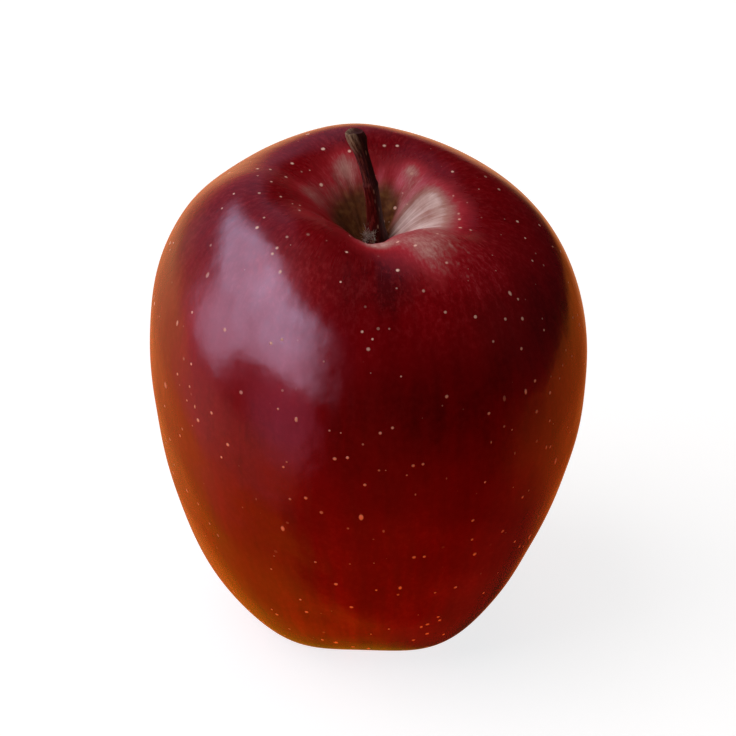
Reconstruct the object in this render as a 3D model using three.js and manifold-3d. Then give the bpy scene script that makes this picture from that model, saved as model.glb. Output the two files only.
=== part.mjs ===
// A red apple of the tall, tapering, five-lobed kind, with its stem and its dried calyx.
// Millimetres, +Z up. It stands on the tips of its base lobes at z = 0, and the origin is on that
// surface, under the middle of the whole apple.
import * as THREE from 'three';
import { mergeVertices } from 'three/addons/utils/BufferGeometryUtils.js';
import Module from 'manifold-3d';

// Fruit: the profile from the calyx at the bottom, up the flank and over into the stem cavity
const crestHeight = 83;      // the ring round the stem cavity, before the lobes raise or lower it
const crestRadius = 18;
const cavityDepth = 12;
const funnelFloor = 2;       // handle lengths of the cavity's curve, at its floor
const funnelMouth = 11;      // and at the crest
const bellyRadius = 37.8;
const bellyHeight = 50.7;
const shoulderFlat = 6.7;    // handle lengths of the shoulder's curve, at the crest
const shoulderDrop = 23.6;   // and at the belly
const flankDrop = 23.4;      // handle lengths of the flank's curve, at the belly
const flankToe = 8;          // and at the foot
const footRadius = 17.5;     // the ring of lobe tips that the apple stands on
const basinDepth = 8;
const basinLip = 9.5;        // handle lengths of the basin's curve, at the foot
const basinThroat = 4.2;     // and at the calyx seat
const seatRadius = 4.6;
const crownTilt = -0.067;    // rise of the crown per millimetre of x, towards -x

// Lobes: five ridges round the fruit, and the saddles between them at the crown
const lobeAngles = [-130, -56, 17, 99, 184];          // degrees from +X towards +Y
const lobeStrengths = [0.83, 0.8, 0.74, 1.15, 1.09];
const lobeSharpness = 20;
const lobeMean = 0.6;        // the strength at which the profile is left as it is
const saddleAngles = [-82, -10, 62, 134];
const saddleDepths = [2.6, 2.9, -1.5, -0.8];          // a saddle of negative depth is a raised one
const saddleSharpness = 14;

// How each ring of the profile is shaped: the lobes widen its radius by a share and lift it in
// millimetres, the saddles lower it by a share, and it sinks as a whole in millimetres
const seatRing = { widen: 0, lift: 0, saddle: 0, sink: 0 };
const footRing = { widen: 0.098, lift: -0.9, saddle: 0, sink: 0.35 };
const bellyRing = { widen: 0.02, lift: 0, saddle: 0, sink: 0 };
const crestRing = { widen: 0.047, lift: 1.6, saddle: 1, sink: 0 };
const funnelRing = { widen: 0, lift: 0, saddle: 0, sink: 0 };

// Stem: a woody stalk in a plain socket in the cavity's floor
const gap = 0.3;
const socketDepth = 4;
const stemRadius = 1.28;
const stemFootRadius = 1.75;
const stemKnobRadius = 1.8;
const stemSway = 3;          // pull of the stem's bow towards +x
const stemRise = 9;          // height over the cavity's floor at which that pull acts
const stemTip = new THREE.Vector3(-2.6, 1.5, 22.4);   // from the middle of the cavity's floor
const footReach = 0.2;       // these places and reaches are shares of the stem's length
const scarPlace = 0.56;
const scarReach = 0.022;
const scarHeight = 0.16;     // the ring scar stands this proud of the shaft
const knobPlace = 0.95;
const knobReach = 0.075;
const slantPlace = 0.9;      // above here the broken end slopes down towards +x
const slantSlope = 0.55;

// Calyx: five dried sepals and the rest of the stamens on one small cup, in the basin
const sepalCount = 5;
const sepalWidth = 3.3;
const sepalThickness = 0.75;
const sepalCurve = [[3, 0], [2.2, 2.4], [0.6, 4.6], [4.6, 5.2]];   // radius, depth below the cup
const cupRadius = 3.9;
const cupThickness = 1.3;
const stamenCount = 7;
const stamenRadius = 0.36;
const stamenLength = 4.4;
const stamenLean = 0.75;     // distance from the middle at the root, and again at the tip

// Fineness: sides round each section and steps along each curve
const fruitSides = 84;
const basinSteps = 9;
const flankSteps = 14;
const shoulderSteps = 13;
const cavitySteps = 11;
const stemSides = 16;
const stemSteps = 34;
const sepalSides = 10;
const sepalSteps = 11;
const stamenSides = 6;
const stamenSteps = 2;
const cupSides = 25;

const wasm = await Module();
wasm.setup();

const radians = THREE.MathUtils.degToRad;

// Sum of five smooth ridges round the fruit, about zero on average: the lobes' push at an angle.
function lobeAt(angle) {
  const ridges = lobeAngles.map((degrees, index) =>
    lobeStrengths[index] * ((1 + Math.cos(angle - radians(degrees))) / 2) ** lobeSharpness);
  return ridges.reduce((sum, ridge) => sum + ridge, -lobeMean);
}

// Sum of the dips between the lobes at the crown, in millimetres.
function saddleAt(angle) {
  const dips = saddleAngles.map((degrees, index) =>
    saddleDepths[index] * ((1 + Math.cos(angle - radians(degrees))) / 2) ** saddleSharpness);
  return dips.reduce((sum, dip) => sum + dip, 0);
}

// A solid turned round Z with the given stations, each vertex then moved by place(station, angle).
// The first and last stations have radius 0, so that the solid is closed.
function turnedSolid(stations, sides, place) {
  const profile = stations.map((station) => new THREE.Vector2(station.radius, station.height));
  const geometry = new THREE.LatheGeometry(profile, sides);
  const position = geometry.attributes.position;
  for (let index = 0; index < position.count; index += 1) {
    const station = stations[index % stations.length];
    const angle = 2 * Math.PI * Math.floor(index / stations.length) / sides;
    position.setXYZ(index, ...place(station, angle).toArray());
  }
  geometry.deleteAttribute('normal');
  geometry.deleteAttribute('uv');
  return withoutSlivers(mergeVertices(geometry, 1e-3));
}

// Drops the triangles that have shrunk to a line where a lathe meets its axis.
function withoutSlivers(geometry) {
  const corners = geometry.index.array;
  const kept = [];
  for (let index = 0; index < corners.length; index += 3) {
    const [a, b, c] = corners.slice(index, index + 3);
    if (a !== b && b !== c && c !== a) {
      kept.push(a, b, c);
    }
  }
  geometry.setIndex(kept);
  return geometry;
}

// Stations along one cubic arc of the fruit's profile, without the arc's last point. The lobes'
// action goes smoothly from that of the first ring to that of the last.
function arcStations(points, steps, first, last) {
  const curve = new THREE.CubicBezierCurve(...points.map(([r, z]) => new THREE.Vector2(r, z)));
  return Array.from({ length: steps }, (_, step) => {
    const share = step / steps;
    const smooth = share * share * (3 - 2 * share);
    const point = curve.getPoint(share);
    return {
      radius: point.x,
      height: point.y,
      widen: THREE.MathUtils.lerp(first.widen, last.widen, smooth),
      lift: THREE.MathUtils.lerp(first.lift, last.lift, smooth),
      saddle: THREE.MathUtils.lerp(first.saddle, last.saddle, smooth),
      sink: THREE.MathUtils.lerp(first.sink, last.sink, smooth),
    };
  });
}

// The whole profile of the fruit, from the middle of the calyx seat to the floor of the socket.
function fruitStations() {
  const floor = crestHeight - cavityDepth;
  const socketRadius = stemFootRadius + gap;
  const basin = [[seatRadius, basinDepth], [seatRadius + basinThroat, basinDepth],
    [footRadius - basinLip, 0], [footRadius, 0]];
  const flank = [[footRadius, 0], [footRadius + flankToe, 0],
    [bellyRadius, bellyHeight - flankDrop], [bellyRadius, bellyHeight]];
  const shoulder = [[bellyRadius, bellyHeight], [bellyRadius, bellyHeight + shoulderDrop],
    [crestRadius + shoulderFlat, crestHeight], [crestRadius, crestHeight]];
  const cavity = [[crestRadius, crestHeight], [crestRadius - funnelMouth, crestHeight],
    [socketRadius + funnelFloor, floor], [socketRadius, floor]];
  return [
    { radius: 0, height: basinDepth, ...seatRing },
    ...arcStations(basin, basinSteps, seatRing, footRing),
    ...arcStations(flank, flankSteps, footRing, bellyRing),
    ...arcStations(shoulder, shoulderSteps, bellyRing, crestRing),
    ...arcStations(cavity, cavitySteps, crestRing, funnelRing),
    { radius: socketRadius, height: floor, ...funnelRing },
    { radius: socketRadius, height: floor - socketDepth, ...funnelRing },
    { radius: 0, height: floor - socketDepth, ...funnelRing },
  ];
}

// Widens, lifts and tilts a point of the profile. Nothing reaches below the surface that the
// apple stands on, so each lobe tip ends in a small flat spot.
function placeOnFruit(station, angle) {
  const push = lobeAt(angle);
  const radius = station.radius * (1 + station.widen * push);
  const x = radius * Math.cos(angle);
  const y = radius * Math.sin(angle);
  const lifted = station.height - station.sink + station.lift * push;
  const level = lifted - station.saddle * saddleAt(angle);
  const up = THREE.MathUtils.clamp(level / crestHeight, 0, 1);
  return new THREE.Vector3(x, y, Math.max(level + crownTilt * x * up * up, 0));
}

// The stem's own radius along its length: a flared foot, a slim shaft, a ring scar and a knob.
function stemRadiusAt(share) {
  const swelling = (place, reach) => Math.exp(-(((share - place) / reach) ** 2));
  const foot = (stemFootRadius - stemRadius) * swelling(0, footReach);
  const scar = scarHeight * swelling(scarPlace, scarReach);
  const knob = (stemKnobRadius - stemRadius) * swelling(knobPlace, knobReach);
  return stemRadius + foot + scar + knob;
}

// A bowed stalk from the floor of its socket to its slanting broken end.
function stemGeometry() {
  const foot = new THREE.Vector3(0, 0, crestHeight - cavityDepth);
  const bow = foot.clone().add(new THREE.Vector3(stemSway, 0, stemRise));
  const curve = new THREE.QuadraticBezierCurve3(foot, bow, foot.clone().add(stemTip));
  const shares = Array.from({ length: stemSteps + 1 }, (_, step) => step / stemSteps);
  const ring = (share, radius, drop = 0) => ({ share, radius, height: share, drop });
  const sunk = socketDepth - gap;
  const stations = [
    ring(0, 0, sunk),
    ring(0, stemFootRadius, sunk),
    ...shares.map((share) => ring(share, stemRadiusAt(share))),
    ring(1, 0),
  ];
  return turnedSolid(stations, stemSides, (station, angle) => {
    const along = station.drop > 0 ? new THREE.Vector3(0, 0, 1) : curve.getTangent(station.share);
    const across = new THREE.Vector3(1, 0, 0).addScaledVector(along, -along.x).normalize();
    const side = new THREE.Vector3().crossVectors(along, across);
    const slant = Math.max(station.share - slantPlace, 0) / (1 - slantPlace) * slantSlope;
    const offsetAcross = station.radius * Math.cos(angle);
    const offsetSide = station.radius * Math.sin(angle);
    return curve.getPoint(station.share)
      .addScaledVector(across, offsetAcross)
      .addScaledVector(side, offsetSide)
      .addScaledVector(along, -station.drop - slant * Math.max(offsetAcross, 0));
  });
}

// A leaf or a stalk: an oval section carried along a curve, with its own width and thickness.
function carriedSection(curve, steps, sides, across, halfWidth, halfThickness) {
  const ring = (share, radius) => ({ share, radius, height: share });
  const shares = Array.from({ length: steps + 1 }, (_, step) => step / steps);
  const stations = [ring(0, 0), ...shares.map((share) => ring(share, 1)), ring(1, 0)];
  return turnedSolid(stations, sides, (station, angle) => {
    const along = curve.getTangent(station.share);
    const normal = new THREE.Vector3().crossVectors(along, across).normalize();
    const width = station.radius * halfWidth(station.share) * Math.cos(angle);
    const thickness = station.radius * halfThickness(station.share) * Math.sin(angle);
    return curve.getPoint(station.share).addScaledVector(across, width).addScaledVector(normal, thickness);
  });
}

// One sepal: it leaves the cup near its rim, leans in to the middle and curls out to its tip.
function sepalGeometry(turn) {
  const outward = new THREE.Vector3(Math.cos(turn), Math.sin(turn), 0);
  const across = new THREE.Vector3(-Math.sin(turn), Math.cos(turn), 0);
  const top = basinDepth - gap - cupThickness / 2;
  const at = ([radius, depth]) => outward.clone().multiplyScalar(radius).setZ(top - depth);
  const curve = new THREE.CubicBezierCurve3(...sepalCurve.map(at));
  const halfWidth = (share) => sepalWidth / 2 * Math.sqrt(Math.sin(Math.PI * (0.22 + 0.74 * share)));
  return carriedSection(curve, sepalSteps, sepalSides, across, halfWidth, () => sepalThickness / 2);
}

// One stamen: a short stalk from the cup, leaning a little outward.
function stamenGeometry(turn) {
  const outward = new THREE.Vector3(Math.cos(turn), Math.sin(turn), 0);
  const across = new THREE.Vector3(-Math.sin(turn), Math.cos(turn), 0);
  const top = basinDepth - gap - cupThickness / 2;
  const start = outward.clone().multiplyScalar(stamenLean).setZ(top);
  const end = outward.clone().multiplyScalar(2 * stamenLean).setZ(top - stamenLength);
  const curve = new THREE.LineCurve3(start, end);
  return carriedSection(curve, stamenSteps, stamenSides, across, () => stamenRadius, () => stamenRadius);
}

// The small cup that the sepals and stamens grow from.
function cupGeometry() {
  const top = basinDepth - gap;
  const stations = [
    { radius: 0, height: top - cupThickness },
    { radius: cupRadius * 0.8, height: top - cupThickness },
    { radius: cupRadius, height: top - cupThickness / 2 },
    { radius: cupRadius, height: top },
    { radius: 0, height: top },
  ];
  return turnedSolid(stations, cupSides, (station, angle) => new THREE.Vector3(
    station.radius * Math.cos(angle), station.radius * Math.sin(angle), station.height));
}

function toSolid(geometry) {
  const vertProperties = Float32Array.from(geometry.attributes.position.array);
  const triVerts = Uint32Array.from(geometry.index.array);
  return new wasm.Manifold(new wasm.Mesh({ numProp: 3, vertProperties, triVerts }));
}

function toGeometry(solid) {
  const mesh = solid.getMesh();
  const geometry = new THREE.BufferGeometry();
  geometry.setAttribute('position', new THREE.BufferAttribute(mesh.vertProperties, 3));
  geometry.setIndex(new THREE.BufferAttribute(mesh.triVerts, 1));
  return geometry;
}

// Cup, sepals and stamens joined in one solid.
function calyxGeometry() {
  const turns = (count) => Array.from({ length: count }, (_, index) => 2 * Math.PI * index / count);
  const sepals = turns(sepalCount).map(sepalGeometry);
  const stamens = turns(stamenCount).map(stamenGeometry);
  const pieces = [cupGeometry(), ...sepals, ...stamens].map(toSolid);
  return toGeometry(pieces.reduce((whole, piece) => whole.add(piece)));
}

function namedMesh(name, geometry, color, roughness) {
  const material = new THREE.MeshStandardMaterial({ color, roughness, metalness: 0 });
  const mesh = new THREE.Mesh(geometry, material);
  mesh.name = name;
  return mesh;
}

const apple = new THREE.Group();
apple.name = 'red_apple';
apple.add(namedMesh('apple_body', turnedSolid(fruitStations(), fruitSides, placeOnFruit), 0x6e0a14, 0.25));
apple.add(namedMesh('stem', stemGeometry(), 0x3a2418, 0.7));
apple.add(namedMesh('calyx', calyxGeometry(), 0x5a4630, 0.9));

// The lobes differ, so the apple's middle is found and set over the origin.
const middle = new THREE.Box3().setFromObject(apple, true).getCenter(new THREE.Vector3());
apple.position.set(-middle.x, -middle.y, 0);

export default apple;
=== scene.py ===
import bpy
import numpy as np
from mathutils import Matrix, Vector


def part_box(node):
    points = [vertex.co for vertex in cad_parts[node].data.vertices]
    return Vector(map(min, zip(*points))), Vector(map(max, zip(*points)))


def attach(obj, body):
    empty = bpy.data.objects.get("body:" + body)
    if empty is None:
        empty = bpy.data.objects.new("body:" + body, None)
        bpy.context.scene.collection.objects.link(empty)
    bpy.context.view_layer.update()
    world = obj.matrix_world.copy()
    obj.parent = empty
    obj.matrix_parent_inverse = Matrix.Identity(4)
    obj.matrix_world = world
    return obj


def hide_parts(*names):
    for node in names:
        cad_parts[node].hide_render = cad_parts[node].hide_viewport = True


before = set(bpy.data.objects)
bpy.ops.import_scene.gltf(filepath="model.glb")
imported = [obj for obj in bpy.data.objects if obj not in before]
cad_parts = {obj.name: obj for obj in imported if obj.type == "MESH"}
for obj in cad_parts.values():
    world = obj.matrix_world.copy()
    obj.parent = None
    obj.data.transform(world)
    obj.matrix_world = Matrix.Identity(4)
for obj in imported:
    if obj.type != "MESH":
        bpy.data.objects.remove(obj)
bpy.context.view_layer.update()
millimetre = 0.001
print("frame loaded:", sorted(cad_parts))


# sRGB hex to the linear values that the shaders take: ((c + 0.055) / 1.055)^2.4 above the toe.
def linear(hexColour):
    channels = np.array([int(hexColour[start:start + 2], 16) for start in (1, 3, 5)]) / 255
    values = np.where(channels <= 0.04045, channels / 12.92, ((channels + 0.055) / 1.055) ** 2.4)
    return (*values.tolist(), 1.0)


# Adds one node with its settings and links. A key with a capital or a number is a socket, "stops"
# fills a colour ramp, and any other is the node's own property. A socket that is given a node is
# linked to its first output, and one that is given another node's socket is linked to that.
def addNode(tree, kind, settings=None):
    node = tree.nodes.new("ShaderNode" + kind)
    for key, value in (settings or {}).items():
        if key == "stops":
            ramp = node.color_ramp
            while len(ramp.elements) < len(value):
                ramp.elements.new(1.0)
            for element, (place, colour) in zip(ramp.elements, value):
                element.position = place
                element.color = linear(colour) if isinstance(colour, str) else colour
        elif isinstance(value, bpy.types.Node):
            tree.links.new(value.outputs[0], node.inputs[key])
        elif isinstance(value, bpy.types.NodeSocket):
            tree.links.new(value, node.inputs[key])
        elif isinstance(key, int) or key[0].isupper():
            node.inputs[key].default_value = value
        else:
            setattr(node, key, value)
    return node


# A start value, and each layer times its weight added to it.
def weighted(tree, start, layers):
    for layer, weight in layers:
        start = addNode(tree, "Math", {"operation": "MULTIPLY_ADD", 0: layer, 1: weight, 2: start})
    return start


# Values multiplied together.
def product(tree, first, *others):
    for other in others:
        first = addNode(tree, "Math", {"operation": "MULTIPLY", 0: first, 1: other})
    return first


# A colour with others laid over it one by one, each by its share.
def overlaid(tree, colour, layers):
    for share, over in layers:
        colour = addNode(tree, "Mix", {"data_type": "RGBA", 0: share, 6: colour, 7: over}).outputs[2]
    return colour


# A new material with its shader, and the tree to add nodes to.
def newMaterial(name, settings):
    material = bpy.data.materials.new(name)
    material.use_nodes = True
    tree = material.node_tree
    tree.nodes.clear()
    shader = addNode(tree, "BsdfPrincipled", settings)
    addNode(tree, "OutputMaterial", {"Surface": shader})
    return material, tree, shader


# 0 below the first edge and 1 above the second, with 3t^2 - 2t^3 between them.
def smoothStep(low, high, value):
    share = np.clip((value - low) / (high - low), 0, 1)
    return share * share * (3 - 2 * share)


# A cubic curve: (1-t)^3 a + 3(1-t)^2 t b + 3(1-t) t^2 c + t^3 d.
def cubicCurve(points, share):
    a, b, c, d = np.array(points, float)
    t = share[:, None]
    return (1 - t) ** 3 * a + 3 * (1 - t) ** 2 * t * b + 3 * (1 - t) * t ** 2 * c + t ** 3 * d


def unit(vectors):
    return vectors / np.maximum(np.linalg.norm(vectors, axis=-1, keepdims=True), 1e-12)


# The faces of a tube of rows x columns points, which closes round and ends in a pole each way: the
# low pole is the point after the grid and the high one follows it. Gives corners and face sizes.
def tubeFaces(rows, columns):
    row, column = np.meshgrid(np.arange(rows - 1), np.arange(columns), indexing="ij")
    after = (column + 1) % columns
    quads = np.stack([row * columns + column, row * columns + after,
                      (row + 1) * columns + after, (row + 1) * columns + column], -1)
    ring = np.arange(columns)
    follow = (ring + 1) % columns
    last = (rows - 1) * columns
    low = np.stack([np.full(columns, rows * columns), follow, ring], -1)
    high = np.stack([np.full(columns, rows * columns + 1), last + ring, last + follow], -1)
    loops = np.concatenate([quads.reshape(-1), low.reshape(-1), high.reshape(-1)])
    sizes = np.concatenate([np.full(quads.size // 4, 4), np.full(2 * columns, 3)])
    return loops, sizes


# One closed part from a grid of rows x columns x 3. Each row is a ring, the last column joins the
# first, and a fan closes the first ring to lowPole and the last to highPole. U goes round, V along.
def closedPart(grid, lowPole, highPole, along=None, values=None):
    rows, columns = grid.shape[:2]
    place = np.linspace(0.01, 0.99, rows) if along is None else along
    row, column = np.meshgrid(np.arange(rows - 1), np.arange(columns), indexing="ij")
    quadU = np.stack([column, column + 1, column + 1, column], -1) / columns
    quadV = np.stack([place[row], place[row], place[row + 1], place[row + 1]], -1)
    ring = np.arange(columns)
    lowUv = np.stack([np.stack([ring + 0.5, ring + 1, ring], -1) / columns,
                      np.tile([0.0, place[0], place[0]], (columns, 1))], -1)
    highUv = np.stack([np.stack([ring + 0.5, ring, ring + 1], -1) / columns,
                       np.tile([1.0, place[-1], place[-1]], (columns, 1))], -1)
    uv = np.concatenate([np.stack([quadU, quadV], -1).reshape(-1, 2),
                         lowUv.reshape(-1, 2), highUv.reshape(-1, 2)])
    points = np.concatenate([grid.reshape(-1, 3), [lowPole], [highPole]])
    layers = {}
    for name, value in (values or {}).items():
        flat = value.reshape(rows * columns, -1)
        layers[name] = np.concatenate([flat, flat[:columns].mean(0)[None], flat[-columns:].mean(0)[None]])
    loops, sizes = tubeFaces(rows, columns)
    return {"points": points, "loops": loops, "sizes": sizes, "uv": uv, "layers": layers}


# Many tapering hairs in one part. Each is a tube of triangles round base + direction length s +
# droop s^2, with the radius r (1 - taper s), for s from 0 to 1.
def hairPart(bases, directions, lengths, droops, radius, taper):
    count, rings, sides = len(bases), 4, 3
    share = np.linspace(0, 1, rings)
    helper = np.where(np.abs(directions[:, 2:]) < 0.9, [[0.0, 0.0, 1.0]], [[1.0, 0.0, 0.0]])
    across = unit(np.cross(directions, helper))
    side = np.cross(directions, across)
    spine = (bases[:, None] + directions[:, None] * (lengths[:, None] * share)[..., None]
             + droops[:, None] * (share ** 2)[None, :, None])
    angle = np.arange(sides) / sides * 2 * np.pi
    width = radius * (1 - taper * share)
    outward = (across[:, None] * np.cos(angle)[None, :, None]
               + side[:, None] * np.sin(angle)[None, :, None])
    body = spine[:, :, None] + outward[:, None] * width[None, :, None, None]
    points = np.concatenate([body.reshape(count, -1, 3), spine[:, :1], spine[:, -1:]], 1)
    loops, sizes = tubeFaces(rings, sides)
    starts = np.arange(count) * points.shape[1]
    return {"points": points.reshape(-1, 3), "loops": (loops[None] + starts[:, None]).reshape(-1),
            "sizes": np.tile(sizes, count), "layers": {}}


# One object from its parts, in millimetres, with its place in its mesh.
def makePiece(name, parts, material, uvName=None):
    starts = np.cumsum([0] + [len(part["points"]) for part in parts])
    points = np.concatenate([part["points"] for part in parts]) * millimetre
    loops = np.concatenate([part["loops"] + start for part, start in zip(parts, starts)])
    sizes = np.concatenate([part["sizes"] for part in parts])
    mesh = bpy.data.meshes.new(name)
    mesh.vertices.add(len(points))
    mesh.vertices.foreach_set("co", points.astype(np.float32).reshape(-1))
    mesh.loops.add(len(loops))
    mesh.loops.foreach_set("vertex_index", loops.astype(np.int32))
    mesh.polygons.add(len(sizes))
    mesh.polygons.foreach_set("loop_start", (np.cumsum(sizes) - sizes).astype(np.int32))
    mesh.update(calc_edges=True)
    mesh.polygons.foreach_set("use_smooth", np.ones(len(sizes), bool))
    if uvName:
        uv = np.concatenate([part["uv"] for part in parts])
        mesh.uv_layers.new(name=uvName).uv.foreach_set("vector", uv.astype(np.float32).reshape(-1))
    for layer in parts[0]["layers"]:
        value = np.concatenate([part["layers"][layer] for part in parts]).astype(np.float32)
        kind, key = ("FLOAT", "value") if value.shape[1] == 1 else ("FLOAT_VECTOR", "vector")
        mesh.attributes.new(layer, kind, "POINT").data.foreach_set(key, value.reshape(-1))
    mesh.validate()
    mesh.materials.append(material)
    piece = bpy.data.objects.new(name, mesh)
    bpy.context.scene.collection.objects.link(piece)
    return piece


# The fruit. Lengths are in millimetres and angles in degrees from +X, anticlockwise from above.
apple = {
    "crestHeight": 83, "crestRadius": 18, "cavityDepth": 12, "funnelFloor": 2, "funnelMouth": 11,
    "bellyRadius": 37.8, "bellyHeight": 50.7, "shoulderFlat": 6.7, "shoulderDrop": 23.6,
    "flankDrop": 23.4, "flankToe": 8, "footRadius": 17.5, "basinDepth": 8, "basinLip": 9.5,
    "basinThroat": 4.2, "seatRadius": 4.6, "socketRadius": 2.05, "crownTilt": -0.067,
    "lobes": ((-130, 0.83), (-56, 0.8), (17, 0.74), (99, 1.15), (184, 1.09)),
    "lobeSharpness": 20, "lobeMean": 0.6,
    "saddles": ((-82, 2.2), (-10, 2.9), (62, -1.5), (134, -0.8)), "saddleSharpness": 14,
    "rings": {                     # widen, lift, saddle and sink: how far a lobe acts on a ring
        "seat": (0, 0, 0, 0), "foot": (0.098, -0.9, 0, 0.35), "belly": (0.02, 0, 0, 0),
        "crest": (0.047, 1.6, 1, 0), "funnel": (0, 0, 0, 0)},
    "rows": 300, "columns": 320, "arcSteps": 400, "poleRadius": 0.15, "uvMargin": 0.004, "skinRound": 30,
    "unevenness": 0.16, "evenBelow": (2, 14), "foldDepth": 0.22,
    "foldStart": (0.12, 0.4), "foldEnd": (0.8, 1),      # shares of the way down into the cavity
    # The pale ground is real, but it is made stronger on the cavity's right wall, where the light falls, and
    # weaker on its shaded left wall: partly painted light and shade.
    "paleAndLitPlaces": (                # at each angle: how far from the core, how strong and how soft
        (-180, 11.5, 0.45, 3.5), (-150, 10.0, 0.3, 3.5), (-120, 12.0, 0.25, 3.5), (-104, 14.0, 0.45, 3.5),
        (-90, 16.0, 0.6, 4.5), (-77, 18.0, 0.58, 7.0), (-64, 22.5, 0.64, 8.0), (-50, 19.0, 0.62, 6.0),
        (-36, 17.0, 0.8, 4.5), (-22, 16.0, 0.98, 4.6), (0, 15.6, 1.0, 4.6), (18, 13.8, 0.94, 3.7),
        (32, 12.5, 0.6, 3.0), (50, 12.5, 0.5, 3.5), (80, 11.0, 0.35, 3.5), (100, 12.0, 0.4, 3.5),
        (125, 12.5, 0.5, 4.0), (150, 12.0, 0.58, 3.8), (180, 11.5, 0.5, 3.5)),
    # Paler spots: partly the real ground, partly a painted highlight, such as the one along the front lip.
    "paleAndLitPatches": (               # angle, distance from the core, reach and how much paler
        (112, 11.5, 1.9, 0.55), (53, 11.8, 1.1, 0.5), (-66, 13.5, 2.6, -0.07), (-58, 22.0, 3.8, 0.1),
        (-82, 12.6, 1.8, 0.6), (0, 6.5, 2.5, 0.4), (-142, 12.8, 2.6, 0.36), (178, 10.8, 2.4, 0.3),
        (20, 10.5, 1.8, 0.1), (-116, 18.5, 4.0, 0.12), (-93, 20.5, 3.0, 0.06)),
    "russetPlaces": (              # at each angle: how far from the core the cork reaches
        (-180, 6.6), (-90, 6.0), (-30, 4.3), (15, 3.9), (37, 5.0), (50, 7.8), (66, 8.4), (120, 7.8),
        (180, 6.6)),
    "russetFade": 1.5, "crownFrom": (55, 65), "basinBelow": (25, 15),
    "basinPaleEdge": (22, 8), "basinRussetEdge": (8, 4),
    # Painted light and shade: patches of thinner red where light fell and of deeper red where shade fell on
    # the skin.
    "paintedLightPatches": (               # angle, height, reach and how much deeper the red is
        (-62, 80.5, 4.5, -0.12), (-62, 74, 7, -0.16), (-113, 80, 6, -0.17), (-92, 80, 5, 0.18),
        (-88, 76, 5, 0.08), (-78, 79, 4, 0.14), (-43, 79, 7, -0.24), (-20, 66, 9, 0.12),
        (-46, 12, 9, 0.2), (-74, 53, 10, 0.15), (-75, 42, 9, -0.12), (-107, 66, 6, -0.14),
        (-60, 62, 8, 0.06), (-150, 24, 12, -0.05), (-122, 26, 9, 0.06)),
    # Thinner red on the lower flank: partly the paler ground near the calyx end, partly painted warm bounce
    # light from below. Deeper red at the very bottom: painted shade where the skin turns under.
    "footPaleAndBounce": -0.15, "footPaleAndBounceStart": (0, 11), "footPaleAndBounceEnd": (42, 12),
    "paintedUnderShade": 0.16, "paintedUnderShadeEnd": (12, 0),
}


# The fruit's outline from the middle of the calyx seat to the floor of the stem cavity: radius,
# height and the four ring values at even steps along the skin, and how far along each step is.
def fruitProfile():
    size = apple
    floor = size["crestHeight"] - size["cavityDepth"]
    belly, foot, crest = size["bellyRadius"], size["footRadius"], size["crestRadius"]
    top, waist = size["crestHeight"], size["bellyHeight"]
    basin = [(size["seatRadius"], size["basinDepth"]),
             (size["seatRadius"] + size["basinThroat"], size["basinDepth"]),
             (foot - size["basinLip"], 0), (foot, 0)]
    flank = [(foot, 0), (foot + size["flankToe"], 0), (belly, waist - size["flankDrop"]), (belly, waist)]
    shoulder = [(belly, waist), (belly, waist + size["shoulderDrop"]),
                (crest + size["shoulderFlat"], top), (crest, top)]
    cavity = [(crest, top), (crest - size["funnelMouth"], top),
              (size["socketRadius"] + size["funnelFloor"], floor), (size["poleRadius"], floor)]
    arcs = [(basin, "seat", "foot"), (flank, "foot", "belly"),
            (shoulder, "belly", "crest"), (cavity, "crest", "funnel")]
    share = np.linspace(0, 1, size["arcSteps"])
    fine = [np.array([[size["poleRadius"], size["basinDepth"], *size["rings"]["seat"], 0]])]
    for order, (points, first, last) in enumerate(arcs):
        blend = smoothStep(0, 1, share)[:, None]
        ring = np.array(size["rings"][first]) * (1 - blend) + np.array(size["rings"][last]) * blend
        fine.append(np.column_stack([cubicCurve(points, share), ring, order + share]))
    fine = np.concatenate(fine)
    steps = np.linalg.norm(np.diff(fine[:, :2], axis=0), axis=1)
    length = np.concatenate([[0], np.cumsum(steps)])
    even = np.linspace(0, length[-1], size["rows"])
    return np.column_stack([np.interp(even, length, column) for column in fine.T] + [even])


# How strongly a set of lobes acts at an angle: the sum of strength * ((1 + cos(a - lobe)) / 2)^k.
def lobeAction(angle, lobes, sharpness):
    return sum(strength * ((1 + np.cos(angle - np.radians(place))) / 2) ** sharpness
               for place, strength in lobes)


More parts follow.
